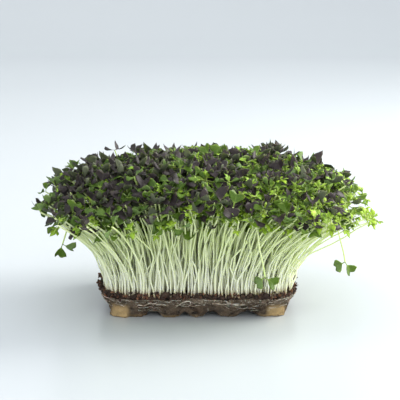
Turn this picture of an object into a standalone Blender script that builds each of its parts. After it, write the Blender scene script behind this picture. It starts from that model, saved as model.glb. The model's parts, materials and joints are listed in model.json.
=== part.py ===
"""A block of living microgreens lifted out of its growing tray, at its real size.

Run it with: blender --background --python part.py

The frame is in metres with +Z up and -Y to the front. The origin is on the flat foot under the middle
of the root block, which stands on the surface. From the bottom up the pieces are the root block with its
moulded feet, the white roots that lie on its front, the layer of peat and seed hulls, the tufts of
stems, the clusters of leaves on them, and the few sprouts that hang out over the edge.
"""

import math

import bmesh
import bpy
from mathutils import Matrix, Vector, noise

MM = 0.001

# The plan of every layer is a superellipse: straight sides and round corners.
PLAN_POWER = 6.0

# Root block, narrower at the bottom because it was cast in a tray with sloping walls.
BLOCK_BOTTOM = (52.0 * MM, 38.0 * MM)  # half width, half depth
BLOCK_TOP = (57.0 * MM, 42.0 * MM)
BLOCK_UNDERSIDE_Z = 3.2 * MM
BLOCK_TOP_Z = 11.6 * MM
BLOCK_EDGE_ROUND = 1.6 * MM
BLOCK_CUTS = 9

# Feet that the tray's dimples leave under the block.
FOOT_COLUMNS = 5
FOOT_ROWS = 3
FOOT_PITCH = (18.0 * MM, 31.0 * MM)
FOOT_RADIUS_BOTTOM = 4.8 * MM
FOOT_RADIUS_TOP = 6.4 * MM
FOOT_SIDES = 10
FOOT_SINK = 1.0 * MM  # how far a foot reaches up into the block
CORNER_FOOT_PLACE = (44.5 * MM, 31.5 * MM)
CORNER_FOOT_TOP_Z = 9.0 * MM
# (side along X, side along Y, radius): the front left corner is the fullest.
CORNER_FEET = ((-1, -1, 6.4 * MM), (1, -1, 5.2 * MM), (-1, 1, 5.6 * MM), (1, 1, 5.6 * MM))

# Peat crumbs and seed hulls lying on the block.
SOIL_HALF = (55.5 * MM, 40.5 * MM)
SOIL_THICKNESS = 2.0 * MM
SOIL_UNEVEN = 0.5 * MM
SOIL_CELLS = 12
GAP = 0.35 * MM  # between solids that touch on the real block

# Stems: tufts in a grid, leaning further out the nearer they stand to the edge.
TUFT_COLUMNS = ("left_end", "left", "centre", "right", "right_end")
TUFT_ROWS = ("front", "mid_front", "mid_back", "back")
STEM_FOOT_Z = 15.2 * MM
STEM_FOOT_HALF = (54.0 * MM, 39.0 * MM)
STEM_TOP_HALF = (78.0 * MM, 59.0 * MM)
STEM_LEAN_POWER = 2.0
STEM_CUTS = 3
CANOPY_SHIFT_X = 3.0 * MM  # the leaves have grown a little towards the light on the right

# Leaves: the underside droops and the top is a dome, both falling away towards the edge.
LEAF_UNDERSIDE_Z = 60.0 * MM
LEAF_UNDERSIDE_DROP = 16.0 * MM
LEAF_TOP_Z = 85.0 * MM
LEAF_TOP_DROP = 13.0 * MM
LEAF_BULGE = (22.0 * MM, 15.0 * MM)
LEAF_LUMP = 2.0 * MM
LEAF_LUMP_SIZE = 13.0 * MM
LEAF_CUTS = 3
CELL_MARGIN = 0.022  # share of the half plan left free round each tuft and cluster

# Roots that show on the front of the block: (start x, end x, height, wave, waves).
ROOT_RADIUS = 0.45 * MM
ROOT_POINTS = 18
FRONT_ROOTS = (
    (-34.0 * MM, -17.0 * MM, 8.6 * MM, 0.8 * MM, 1.5),
    (-13.0 * MM, 4.0 * MM, 8.0 * MM, 1.1 * MM, 2.0),
    (8.0 * MM, 27.0 * MM, 8.9 * MM, 0.6 * MM, 1.0),
)

# Sprouts that hang out under the edge of the leaves: the stem's points in millimetres, then the way
# each of its two leaves points, in degrees down from +X.
SPROUT_STEM_RADIUS = 0.7 * MM
SPROUT_LEAF = (5.2 * MM, 3.6 * MM, 0.6 * MM)  # half length, half width, half thickness
SPROUT_LEAF_REACH = 0.85  # share of the half length from the stem's end to the leaf's middle
SPROUT_LEAF_LEAN = 60.0
HANGING_SPROUTS = {
    "hanging_sprout_right": (((81, -4, 42), (83, -6, 36), (85, -8, 30), (87, -9, 25)), (60, 150)),
    "hanging_sprout_left": (((-76, -6, 42), (-78, -8, 39), (-80, -9, 36)), (110, 30)),
    "hanging_sprout_front": (((34, -58, 38), (36, -60, 35), (37, -61.5, 31)), (40, 140)),
}


def clear_scene():
    for old in list(bpy.data.objects):
        bpy.data.objects.remove(old)


def new_collection(name):
    made = bpy.data.collections.new(name)
    bpy.context.scene.collection.children.link(made)
    return made


def new_material(name, colour, roughness):
    made = bpy.data.materials.new(name)
    made.use_nodes = True
    shader = made.node_tree.nodes["Principled BSDF"]
    shader.inputs["Base Color"].default_value = (*colour, 1.0)
    shader.inputs["Roughness"].default_value = roughness
    shader.inputs["Metallic"].default_value = 0.0
    return made


def object_of(name, mesh, material, collection):
    """An object in the collection, flat shaded, with one material."""
    mesh.materials.append(material)
    made = bpy.data.objects.new(name, mesh)
    collection.objects.link(made)
    return made


def mesh_of(name, built):
    """A mesh from a bmesh, with its normals pointing out."""
    bmesh.ops.recalc_face_normals(built, faces=built.faces[:])
    mesh = bpy.data.meshes.new(name)
    built.to_mesh(mesh)
    built.free()
    return mesh


def plan_point(u, v, half):
    """The place in a layer's plan of the point (u, v) of a square that runs from -1 to 1."""
    reach = max(abs(u), abs(v))
    if reach == 0.0:
        return 0.0, 0.0
    spread = (abs(u) ** PLAN_POWER + abs(v) ** PLAN_POWER) ** (1.0 / PLAN_POWER)
    return half[0] * u * reach / spread, half[1] * v * reach / spread


def between(low, high, share):
    return low + (high - low) * share


def distance_out(u, v):
    """How far out a point lies, squared: 0 in the middle, 1 at the middle of a side."""
    x, y = plan_point(u, v, (1.0, 1.0))
    return x * x + y * y


def leaf_underside_z(u, v):
    return LEAF_UNDERSIDE_Z - LEAF_UNDERSIDE_DROP * min(distance_out(u, v), 1.15)


def leaf_top_z(u, v):
    return LEAF_TOP_Z - LEAF_TOP_DROP * min(distance_out(u, v) ** 3, 1.4)


def gridded_cube(cuts):
    """A cube from 0 to 1, each face cut into a grid."""
    built = bmesh.new()
    bmesh.ops.create_cube(built, size=1.0)
    bmesh.ops.translate(built, verts=built.verts[:], vec=(0.5, 0.5, 0.5))
    bmesh.ops.subdivide_edges(built, edges=built.edges[:], cuts=cuts, use_grid_fill=True)
    return built


def union(body, others):
    """Joins the others to the body with Booleans, and hides them as cutters."""
    for other in others:
        join = body.modifiers.new("Join " + other.name, "BOOLEAN")
        join.operation = "UNION"
        join.object = other
        other.hide_render = True
        other.display_type = "WIRE"


def cone(name, place, radius_bottom, radius_top, z_bottom, z_top, collection, material):
    built = bmesh.new()
    bmesh.ops.create_cone(
        built,
        cap_ends=True,
        segments=FOOT_SIDES,
        radius1=radius_bottom,
        radius2=radius_top,
        depth=z_top - z_bottom,
        matrix=Matrix.Translation((place[0], place[1], (z_top + z_bottom) / 2)),
    )
    return object_of(name, mesh_of(name, built), material, collection)


def root_block(parts, cutters, material):
    """The felt of roots and peat: a gridded cube drawn out to the tray's rounded, tapering shape."""
    built = gridded_cube(BLOCK_CUTS)
    for vert in built.verts:
        u, v, up = vert.co.x * 2 - 1, vert.co.y * 2 - 1, vert.co.z
        half = [between(low, high, up) for low, high in zip(BLOCK_BOTTOM, BLOCK_TOP)]
        if up in (0.0, 1.0):
            half = [side - BLOCK_EDGE_ROUND / 2 for side in half]
        x, y = plan_point(u, v, half)
        vert.co = (x, y, between(BLOCK_UNDERSIDE_Z, BLOCK_TOP_Z, up))
    block = object_of("root_block", mesh_of("root_block", built), material, parts)
    union(block, feet(cutters, material))
    return block


def feet(cutters, material):
    """Small feet in a grid, with one under the middle, and a fuller foot up each corner."""
    made = []
    for row in range(FOOT_ROWS):
        for column in range(FOOT_COLUMNS):
            place = (
                (column - (FOOT_COLUMNS - 1) / 2) * FOOT_PITCH[0],
                (row - (FOOT_ROWS - 1) / 2) * FOOT_PITCH[1],
            )
            top = BLOCK_UNDERSIDE_Z + FOOT_SINK
            name = f"foot_{row}_{column}"
            made.append(
                cone(name, place, FOOT_RADIUS_BOTTOM, FOOT_RADIUS_TOP, 0.0, top, cutters, material)
            )
    for side_x, side_y, radius in CORNER_FEET:
        place = (side_x * CORNER_FOOT_PLACE[0], side_y * CORNER_FOOT_PLACE[1])
        name = f"corner_foot_{side_x}_{side_y}"
        made.append(
            cone(name, place, radius * 0.92, radius, 0.0, CORNER_FOOT_TOP_Z, cutters, material)
        )
    return made


def soil_layer(parts, material):
    """An uneven sheet over the block, thickened downwards."""
    built = bmesh.new()
    bmesh.ops.create_grid(built, x_segments=SOIL_CELLS, y_segments=SOIL_CELLS, size=1.0)
    top = BLOCK_TOP_Z + GAP + SOIL_THICKNESS
    for vert in built.verts:
        x, y = plan_point(vert.co.x, vert.co.y, SOIL_HALF)
        bump = noise.noise(Vector((x, y, 0.0)) / (6.0 * MM))
        vert.co = (x, y, top + SOIL_UNEVEN * bump)
    bottom = bmesh.ops.extrude_face_region(built, geom=built.faces[:])
    for vert in (item for item in bottom["geom"] if isinstance(item, bmesh.types.BMVert)):
        vert.co.z = BLOCK_TOP_Z + GAP
    return object_of("soil_layer", mesh_of("soil_layer", built), material, parts)


def cell_corner(vert, column, row):
    """(u, v, up) of a gridded cube's vertex, once the cube fills one cell of the tuft grid."""
    across, along = len(TUFT_COLUMNS), len(TUFT_ROWS)
    u = between(2 * column / across - 1, 2 * (column + 1) / across - 1, vert.co.x)
    v = between(2 * row / along - 1, 2 * (row + 1) / along - 1, vert.co.y)
    u += CELL_MARGIN * (1 - 2 * vert.co.x)
    v += CELL_MARGIN * (1 - 2 * vert.co.y)
    return u, v, vert.co.z


def stem_tuft(name, column, row, parts, material):
    """One bunch of stems, from the soil up to the underside of the leaves, leaning outwards."""
    built = gridded_cube(STEM_CUTS)
    for vert in built.verts:
        u, v, up = cell_corner(vert, column, row)
        lean = up**STEM_LEAN_POWER
        half = [between(low, high, lean) for low, high in zip(STEM_FOOT_HALF, STEM_TOP_HALF)]
        x, y = plan_point(u, v, half)
        z = between(STEM_FOOT_Z, leaf_underside_z(u, v) - GAP, up)
        vert.co = (x + CANOPY_SHIFT_X * lean, y, z)
    return object_of(name, mesh_of(name, built), material, parts)


def leaf_cluster(name, column, row, parts, material):
    """The leaves over one tuft: a block between the underside and the dome, lumpy where it is free."""
    built = gridded_cube(LEAF_CUTS)
    for vert in built.verts:
        u, v, up = cell_corner(vert, column, row)
        swell = math.sin(math.pi * (0.05 + 0.75 * up))
        half = [top + bulge * swell for top, bulge in zip(STEM_TOP_HALF, LEAF_BULGE)]
        x, y = plan_point(u, v, half)
        z = between(leaf_underside_z(u, v) + GAP, leaf_top_z(u, v), up)
        place = Vector((x + CANOPY_SHIFT_X, y, z))
        lump = LEAF_LUMP * noise.noise(place / LEAF_LUMP_SIZE)
        edge = 1 - CELL_MARGIN - 1e-6
        if up == 1.0:
            place.z += lump
        if abs(u) >= edge and 0.0 < up:
            place.x += math.copysign(lump, u)
        if abs(v) >= edge and 0.0 < up:
            place.y += math.copysign(lump, v)
        vert.co = place
    return object_of(name, mesh_of(name, built), material, parts)


def tube(name, points, radius, collection, material):
    """A wire with round section and filled ends."""
    curve = bpy.data.curves.new(name, "CURVE")
    curve.dimensions = "3D"
    curve.bevel_depth = radius
    curve.bevel_resolution = 1
    curve.use_fill_caps = True
    line = curve.splines.new("POLY")
    line.points.add(len(points) - 1)
    for point, place in zip(line.points, points):
        point.co = (*place, 1.0)
    return object_of(name, curve, material, collection)


def as_mesh(wire):
    """The wire as a mesh object of the same name, its caps welded to its sides."""
    name, collection = wire.name, wire.users_collection[0]
    graph = bpy.context.evaluated_depsgraph_get()
    mesh = bpy.data.meshes.new_from_object(wire.evaluated_get(graph))
    matrix = wire.matrix_world.copy()
    bpy.data.objects.remove(wire)
    built = bmesh.new()
    built.from_mesh(mesh)
    bmesh.ops.remove_doubles(built, verts=built.verts[:], dist=0.01 * MM)
    built.to_mesh(mesh)
    built.free()
    made = bpy.data.objects.new(name, mesh)
    made.matrix_world = matrix
    collection.objects.link(made)
    return made


def block_front_y(z):
    """Where the block's sloping front wall is at this height."""
    up = (z - BLOCK_UNDERSIDE_Z) / (BLOCK_TOP_Z - BLOCK_UNDERSIDE_Z)
    return -between(BLOCK_BOTTOM[1], BLOCK_TOP[1], up)


def front_root(name, start, end, height, wave, waves, parts, material):
    """A white root that wanders along the front wall without touching it."""
    points = []
    for step in range(ROOT_POINTS):
        share = step / (ROOT_POINTS - 1)
        z = height + wave * math.sin(2 * math.pi * waves * share)
        points.append((between(start, end, share), block_front_y(z) - ROOT_RADIUS - GAP, z))
    return tube(name, points, ROOT_RADIUS, parts, material)


def hanging_sprout(name, stem, ways, parts, cutters, material):
    """A thin stem with two seed leaves, each a flattened sphere joined to the stem's end."""
    points = [Vector(point) * MM for point in stem]
    wire = as_mesh(tube(name, points, SPROUT_STEM_RADIUS, parts, material))
    joined = []
    for number, way in enumerate(ways):
        built = bmesh.new()
        bmesh.ops.create_uvsphere(built, u_segments=10, v_segments=6, radius=1.0)
        lean = Matrix.Rotation(math.radians(SPROUT_LEAF_LEAN), 4, "X")
        turn = Matrix.Rotation(math.radians(way), 4, "Y")
        reach = turn @ Vector((SPROUT_LEAF[0] * SPROUT_LEAF_REACH, 0.0, 0.0))
        place = Matrix.Translation(points[-1] + reach)
        shape = place @ turn @ lean @ Matrix.Diagonal((*SPROUT_LEAF, 1.0))
        bmesh.ops.transform(built, matrix=shape, verts=built.verts[:])
        leaf_name = f"{name}_leaf_{number}"
        joined.append(object_of(leaf_name, mesh_of(leaf_name, built), material, cutters))
    union(wire, joined)
    return wire


def main():
    clear_scene()
    parts = new_collection("microgreens_block")
    cutters = new_collection("joined_shapes")
    felt = new_material("root_felt", (0.20, 0.145, 0.10), 0.95)
    peat = new_material("dark_peat", (0.055, 0.035, 0.028), 0.95)
    white_root = new_material("white_root", (0.72, 0.68, 0.60), 0.6)
    stem_skin = new_material("pale_stem", (0.66, 0.76, 0.46), 0.45)
    green_leaf = new_material("green_leaf", (0.10, 0.24, 0.045), 0.5)
    purple_leaf = new_material("purple_leaf", (0.085, 0.05, 0.085), 0.5)

    root_block(parts, cutters, felt)
    for number, root in enumerate(FRONT_ROOTS, start=1):
        front_root(f"front_root_{number}", *root, parts, white_root)
    soil_layer(parts, peat)
    for row, row_name in enumerate(TUFT_ROWS):
        for column, column_name in enumerate(TUFT_COLUMNS):
            where = f"{row_name}_{column_name}"
            leaf_colour = purple_leaf if (row + column) % 2 else green_leaf
            stem_tuft("stems_" + where, column, row, parts, stem_skin)
            leaf_cluster("leaves_" + where, column, row, parts, leaf_colour)
    for name, (stem, ways) in HANGING_SPROUTS.items():
        hanging_sprout(name, stem, ways, parts, cutters, green_leaf)


main()
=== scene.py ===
# %% [markdown]
# # A block of living microgreens
# Mixed cress, mustard and radish sprouts stand close together in a low block of matted roots that
# has been lifted out of its growing tray. The file grows it from the bottom up: block, peat, stems,
# leaves. Thousands of small things make its look, so most pieces come from a few shapes that
# Geometry Nodes put in place by rules, and numpy works out those rules.

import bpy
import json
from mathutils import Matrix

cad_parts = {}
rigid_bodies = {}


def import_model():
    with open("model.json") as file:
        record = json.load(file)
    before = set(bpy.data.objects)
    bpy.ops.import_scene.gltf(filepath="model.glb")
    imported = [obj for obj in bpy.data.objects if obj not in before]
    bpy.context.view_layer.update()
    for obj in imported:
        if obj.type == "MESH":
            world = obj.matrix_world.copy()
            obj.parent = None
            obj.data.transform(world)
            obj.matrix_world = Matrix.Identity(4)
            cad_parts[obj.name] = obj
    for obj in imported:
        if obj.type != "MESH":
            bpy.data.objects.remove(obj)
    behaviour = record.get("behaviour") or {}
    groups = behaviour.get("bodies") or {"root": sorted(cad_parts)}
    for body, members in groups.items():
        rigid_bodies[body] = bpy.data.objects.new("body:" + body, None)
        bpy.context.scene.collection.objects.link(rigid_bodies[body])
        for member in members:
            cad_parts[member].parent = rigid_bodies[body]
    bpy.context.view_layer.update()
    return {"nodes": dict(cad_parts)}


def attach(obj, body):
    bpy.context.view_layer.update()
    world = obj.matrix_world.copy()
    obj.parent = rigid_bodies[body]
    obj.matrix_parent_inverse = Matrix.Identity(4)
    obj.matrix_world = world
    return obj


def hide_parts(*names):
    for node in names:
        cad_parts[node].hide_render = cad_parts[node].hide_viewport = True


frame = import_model()
print("CAD nodes:", len(frame["nodes"]))

# %% [markdown]
# Everything is in metres, so a size in millimetres is multiplied by MM. One seeded generator makes
# every random draw, and always in the same order, so each run grows the same block.

# %% Tools and units
import json
import math

import bmesh
import bpy
import numpy as np
from mathutils import Vector, noise

MM = 0.001
chance = np.random.default_rng(20)

# %% [markdown]
# ## Writing materials as sums
# A material's pattern is arithmetic on masks: noise here, times height there. Wired by hand in the
# editor that is a wall of Math nodes. One small class wraps a socket, so that the arithmetic can be
# written as arithmetic, and one method makes every other kind of node.


# %% A socket that can be added and multiplied
class Wire:
    """An output of a material's nodes. Arithmetic on it adds Math nodes to the same material."""

    def __init__(self, tree, socket=None):
        self.tree = tree
        self.socket = socket

    def node(self, kind, settings, values, output=0):
        made = self.tree.nodes.new(kind)
        for name, setting in settings.items():
            if name == "stops":
                while len(made.color_ramp.elements) < len(setting):
                    made.color_ramp.elements.new(0.5)
                for stop, (place, colour) in zip(made.color_ramp.elements, setting):
                    stop.position = place
                    stop.color = colour
            else:
                setattr(made, name, setting)
        for name, value in values.items():
            if isinstance(value, Wire):
                self.tree.links.new(value.socket, made.inputs[name])
            else:
                made.inputs[name].default_value = value
        return Wire(self.tree, made.outputs[output])

    def maths(self, operation, *values):
        return self.node("ShaderNodeMath", {"operation": operation}, dict(enumerate(values)))

    def __add__(self, other):
        return self.maths("ADD", self, other)

    def __radd__(self, other):
        return self.maths("ADD", other, self)

    def __sub__(self, other):
        return self.maths("SUBTRACT", self, other)

    def __rsub__(self, other):
        return self.maths("SUBTRACT", other, self)

    def __mul__(self, other):
        return self.maths("MULTIPLY", self, other)

    def __rmul__(self, other):
        return self.maths("MULTIPLY", other, self)

    def __abs__(self):
        return self.maths("ABSOLUTE", self)

    def part(self, low, high):
        """0 below low, 1 above high, smooth between; low above high turns it round."""
        ends = {"Value": self, "From Min": low, "From Max": high}
        return self.node("ShaderNodeMapRange", {"interpolation_type": "SMOOTHSTEP"}, ends)

    def between(self, first, second):
        """The first colour where this is 0, the second where it is 1."""
        colours = {0: self, 6: rgba(first), 7: rgba(second)}
        return self.node("ShaderNodeMix", {"data_type": "RGBA"}, colours, 2)


def rgba(colour):
    return colour if isinstance(colour, Wire) else (*colour, 1.0)


# %% [markdown]
# Every finish here starts from one Principled shader. What stays the same all over, such as how
# far light runs through the flesh, is set on the shader's own sockets. Only colour, roughness and
# the bumps vary over the surface.


# %% Helpers that all the finishes share
def new_finish(name, **constants):
    """(material, its shader, a wire to start from)"""
    made = bpy.data.materials.new(name)
    made.use_nodes = True
    shader = made.node_tree.nodes["Principled BSDF"]
    for socket, value in constants.items():
        shader.inputs[socket.replace("_", " ")].default_value = value
    return made, shader, Wire(made.node_tree)


def feed(shader, **wires):
    for socket, wire in wires.items():
        shader.id_data.links.new(wire.socket, shader.inputs[socket.replace("_", " ")])


def place_of(start):
    return start.node("ShaderNodeTexCoord", {}, {}, "Object")


def height_of(place):
    return place.node("ShaderNodeSeparateXYZ", {}, {"Vector": place}, "Z")


def cloud(place, size, detail=3.0, rough=0.55):
    """Noise from 0 to 1 whose blotches are about this size in metres."""
    values = {"Vector": place, "Scale": 1.0 / size, "Detail": detail, "Roughness": rough}
    return place.node("ShaderNodeTexNoise", {}, values, "Fac")


def attribute(start, name):
    return start.node("ShaderNodeAttribute", {"attribute_name": name}, {}, "Fac")


def bumps(height, depth, strength=1.0):
    values = {"Height": height, "Distance": depth, "Strength": strength}
    return height.node("ShaderNodeBump", {}, values)


# %% [markdown]
# ## Leaves
# A seed leaf of mustard or radish is a heart: a short stalk, two round lobes and a notch between
# them. Purple kinds are nearly black violet above and grey green below. A few veins run out from
# the stalk, a little paler than the leaf. The leaf's own marks, kept on its points as attributes,
# say how far along and across it a point is and which side it is on, so the veins follow the leaf
# however it is turned.


# %% Leaf finishes
def leaf_finish(name, young, old, under, vein, subsurface):
    made, shader, start = new_finish(
        name,
        Subsurface_Weight=subsurface,
        Subsurface_Radius=(0.9, 1.0, 0.35),
        Subsurface_Scale=0.9 * MM,
        Specular_IOR_Level=0.22,
    )
    place = place_of(start)
    along = attribute(start, "along")
    across = abs(attribute(start, "across"))
    upper = attribute(start, "upper").part(0.35, 0.65)
    tint = attribute(start, "tint")
    blotch = cloud(place, 2.2 * MM)
    midrib = across.part(0.13, 0.03) * along.part(1.0, 0.3)
    side_veins = abs(cloud(place, 1.1 * MM, 1.0) - 0.5).part(0.035, 0.0) * 0.5
    veins = midrib * 0.8 + side_veins * along.part(0.3, 0.5)
    # The tint picks between the old and the young colour. Besides random tone it carries painted light,
    # so leaves are lighter on the right, towards the lamp.
    top = (tint * 0.75 + blotch * 0.5 - 0.12).between(old, young)
    top = (veins * 0.55).between(top, vein)
    stalk = along.part(0.42, 0.24)
    colour = upper.between(under, top)
    colour = stalk.between(colour, vein)
    feed(
        shader,
        Base_Color=colour,
        Roughness=0.38 + blotch * 0.18 + (1 - upper) * 0.18,
        Normal=bumps(blotch * 0.6 - veins, 0.12 * MM, 0.7),
    )
    return made


PLANTS = {
    "purple": leaf_finish(
        "purple_leaf_skin",
        young=(0.050, 0.036, 0.040),
        old=(0.013, 0.011, 0.010),
        under=(0.090, 0.105, 0.065),
        vein=(0.090, 0.070, 0.060),
        subsurface=0.08,
    ),
    "green": leaf_finish(
        "green_leaf_skin",
        young=(0.120, 0.215, 0.018),
        old=(0.030, 0.070, 0.007),
        under=(0.150, 0.230, 0.075),
        vein=(0.220, 0.330, 0.060),
        subsurface=0.18,
    ),
    "cress": leaf_finish(
        "cress_leaf_skin",
        young=(0.370, 0.560, 0.040),
        old=(0.120, 0.260, 0.014),
        under=(0.300, 0.460, 0.090),
        vein=(0.440, 0.600, 0.120),
        subsurface=0.28,
    ),
}
print("leaf finishes:", ", ".join(PLANTS))

# %% [markdown]
# The stem is the palest part. It grew in the dark under the leaves, so it is almost white at the
# peat and turns green towards the light. It is juicy and a little clear: light runs a millimetre or
# two into it, which is what makes the lit side of the block glow.

# %% Stem finish
STEM_STAIN = (0.45, 0.36, 0.22)
STEM_LOW = (0.93, 0.95, 0.78)
STEM_MIDDLE = (0.80, 0.90, 0.50)
STEM_TOP = (0.48, 0.68, 0.17)
STEM_SHADE = (0.90, 0.95, 0.76)


def stem_finish():
    made, shader, start = new_finish(
        "stem_skin",
        Subsurface_Weight=0.45,
        Subsurface_Radius=(1.0, 1.0, 0.6),
        Subsurface_Scale=1.6 * MM,
        Specular_IOR_Level=0.5,
    )
    place = place_of(start)
    along = attribute(start, "along")
    tint = attribute(start, "tint")
    streak = cloud(place, 1.6 * MM)
    low = along.part(0.0, 0.55).between(STEM_LOW, STEM_MIDDLE)
    colour = along.part(0.55, 1.1).between(low, STEM_TOP)
    darker = colour.node(
        "ShaderNodeMix",
        {"data_type": "RGBA", "blend_type": "MULTIPLY"},
        {0: 0.8, 6: colour, 7: rgba(STEM_SHADE)},
        2,
    )
    colour = (tint * 0.7 + streak * 0.3).between(darker, colour)
    colour = along.part(0.07, 0.0).between(colour, STEM_STAIN)
    feed(
        shader,
        Base_Color=colour,
        Roughness=0.30 + streak * 0.2,
        Normal=bumps(streak, 0.08 * MM, 0.5),
    )
    return made


stem_skin = stem_finish()
print("stem finish nodes:", len(stem_skin.node_tree.nodes))

# %% [markdown]
# ## Where things grow
# The tray gave the block its plan: a rectangle with round corners, which a superellipse draws
# well. A point (u, v) of a square from -1 to 1 is sent to it. The same square carries each sprout
# from its root up to its leaves, only with wider sides, so that the sprouts near the edge lean out
# and the ones in the middle stand straight.

# %% The plan and the layers above it
PLAN_POWER = 6.0
SOIL_Z = 13.2 * MM
FOOT_HALF = (55.5 * MM, 40.6 * MM)
TIP_HALF = (63.0 * MM, 48.0 * MM)
TIP_BULGE = (30.0 * MM, 20.5 * MM)
LIGHT_SHIFT_X = 3.0 * MM
LOWEST_TIP, LOWEST_TIP_TILT, LOWEST_TIP_DROP = 66, 2, 9  # mm above the table
HIGHEST_TIP, HIGHEST_TIP_DROP = 82, 13  # mm above the table


def plan(u, v, half_x, half_y):
    reach = np.maximum(np.abs(u), np.abs(v))
    spread = (np.abs(u) ** PLAN_POWER + np.abs(v) ** PLAN_POWER) ** (1 / PLAN_POWER)
    ratio = reach / np.maximum(spread, 1e-9)
    return half_x * u * ratio, half_y * v * ratio


def outwardness(u, v):
    """0 in the middle of the block, 1 at the middle of a side, more in the corners."""
    x, y = plan(u, v, 1.0, 1.0)
    return x**2 + y**2


def leaf_layer(u, v, level):
    """Where a stem's tip is, when its level among the leaves runs from 0, lowest, to 1."""
    out = outwardness(u, v)
    low = (LOWEST_TIP + LOWEST_TIP_TILT * u - LOWEST_TIP_DROP * np.minimum(out, 1.15)) * MM
    high = (HIGHEST_TIP - HIGHEST_TIP_DROP * np.minimum(out**3, 1.4)) * MM
    swell = np.sin(np.pi * (0.05 + 0.75 * level))
    x, y = plan(u, v, TIP_HALF[0] + TIP_BULGE[0] * swell, TIP_HALF[1] + TIP_BULGE[1] * swell)
    return np.stack([x + LIGHT_SHIFT_X, y, low + (high - low) * level], axis=-1)


print("tips in the middle, mm:", [round(leaf_layer(0.0, 0.0, high)[2] / MM, 1) for high in (0.0, 1.0)])

# %% [markdown]
# Seed is scattered thickly and evenly, about one sprout every two millimetres. A jittered grid does
# that without the clumps that plain chance makes. Each sprout then draws its kind, its level among
# the leaves and a little error in where its tip ends up. Near the edge more of them stay low, which
# makes the ragged fringe under the leaves.

# %% Draw the sprouts
SPROUTS_ACROSS = 57
SPROUTS_DEEP = 39
JITTER = 0.42
PURPLE, GREEN, CRESS = range(len(PLANTS))
TIP_ERROR = (1.3 * MM, 1.3 * MM, 1.5 * MM)
TALL_SHARE = 0.02

across, deep = np.meshgrid(np.arange(SPROUTS_ACROSS), np.arange(SPROUTS_DEEP))
count = across.size
u = (across.ravel() + 0.5 + chance.uniform(-JITTER, JITTER, count)) / SPROUTS_ACROSS * 2 - 1
v = (deep.ravel() + 0.5 + chance.uniform(-JITTER, JITTER, count)) / SPROUTS_DEEP * 2 - 1
out = np.clip(outwardness(u, v), 0, 1.2)

level = 1 - chance.random(count) ** 1.2 * (0.30 + 0.68 * out)
level = np.clip(level, 0.0, 1.0)
low_ones = chance.random(count) < (0.05 + 0.09 * out) * (1 - 0.4 * u)
level[low_ones] = chance.uniform(-0.45, 0.2, low_ones.sum())

kind_draw = chance.random(count) + 0.20 * u + 0.55 * (0.68 - level)
kind = np.select([kind_draw < 0.40, kind_draw < 0.68], [PURPLE, GREEN], CRESS)

foot_x, foot_y = plan(u, v, *FOOT_HALF)
foot = np.stack([foot_x, foot_y, np.full(count, SOIL_Z - 0.8 * MM)], axis=-1)
tip_u = u * (0.90 + 0.10 * u**2) + chance.normal(0, 0.03, count)
tip_v = v * (0.90 + 0.10 * v**2) + chance.normal(0, 0.04, count)
tip = leaf_layer(tip_u, tip_v, level)
tip += chance.normal(0, 1.0, (count, 3)) * TIP_ERROR
tall = chance.random(count) < TALL_SHARE
tip[tall, 2] += chance.uniform(3, 7, tall.sum()) * MM
print("sprouts:", count, "of which low:", int(low_ones.sum()))

# %% [markdown]
# A stem rises from a bent foot, wavers a little, and leans out more the higher it gets. Ten points
# are enough for that. The lean follows a power of the height, and the wavering is one slow
# sine in each direction that fades out at both ends.

# %% Draw the stems' paths
STEM_POINTS = 10
share = np.linspace(0, 1, STEM_POINTS)[None, :, None]
lean_power = (1.9 + 0.6 * chance.random(count))[:, None, None]
path = foot[:, None, :] + (tip - foot)[:, None, :] * share ** np.concatenate(
    [np.repeat(lean_power, 2, axis=2), np.ones_like(lean_power)], axis=2
)
waves = chance.uniform(0.6, 1.7, (count, 1, 2))
phase = chance.uniform(0, 2 * math.pi, (count, 1, 2))
size = chance.gamma(3.0, 0.42, (count, 1, 2)) * MM
fade = np.sin(np.pi * share) ** 0.8
path[:, :, :2] += size * fade * np.sin(2 * math.pi * waves * share + phase)
kink = chance.normal(0, 0.9, (count, 1, 2)) * MM
path[:, :, :2] += kink * np.exp(-share * 9) * (share > 0)
thickness = chance.normal(1.0, 0.16, count).clip(0.65, 1.4)
stem_tint = chance.random(count)
print("mean stem length, mm:", round(float(np.linalg.norm(tip - foot, axis=1).mean() / MM), 1))


# %% [markdown]
# ## Growing with Geometry Nodes
# Both trees below take a bare mesh with attributes on its points and turn it into plant. The first
# runs a round section along lines: stems and roots. The second puts a leaf, a crumb or a hull on
# each point: which one, how it is turned and how big it is come from the point's attributes. Each
# ends by making its instances real and giving them their finish, so that plain meshes are left.


# %% A tree with named inputs
class Tree:
    """A Geometry Nodes tree. keys has the identifier of each named input."""

    def __init__(self, name, inputs):
        self.group = bpy.data.node_groups.new(name, "GeometryNodeTree")
        sockets = self.group.interface
        sockets.new_socket("Geometry", in_out="INPUT", socket_type="NodeSocketGeometry")
        self.keys = {}
        for label, kind in inputs.items():
            made = sockets.new_socket(label, in_out="INPUT", socket_type="NodeSocket" + kind)
            self.keys[label] = made.identifier
        sockets.new_socket("Geometry", in_out="OUTPUT", socket_type="NodeSocketGeometry")
        self.inputs = self.group.nodes.new("NodeGroupInput").outputs

    def node(self, kind, settings, values, output=0):
        made = self.group.nodes.new(kind)
        for name, setting in settings.items():
            setattr(made, name, setting)
        for name, value in values.items():
            if isinstance(value, bpy.types.NodeSocket):
                self.group.links.new(value, made.inputs[name])
            else:
                made.inputs[name].default_value = value
        return made.outputs[output]

    def named(self, name, kind="FLOAT"):
        settings = {"data_type": kind}
        return self.node("GeometryNodeInputNamedAttribute", settings, {"Name": name})

    def finish(self, geometry):
        end = self.group.nodes.new("NodeGroupOutput")
        self.group.links.new(geometry, end.inputs[0])


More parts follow.
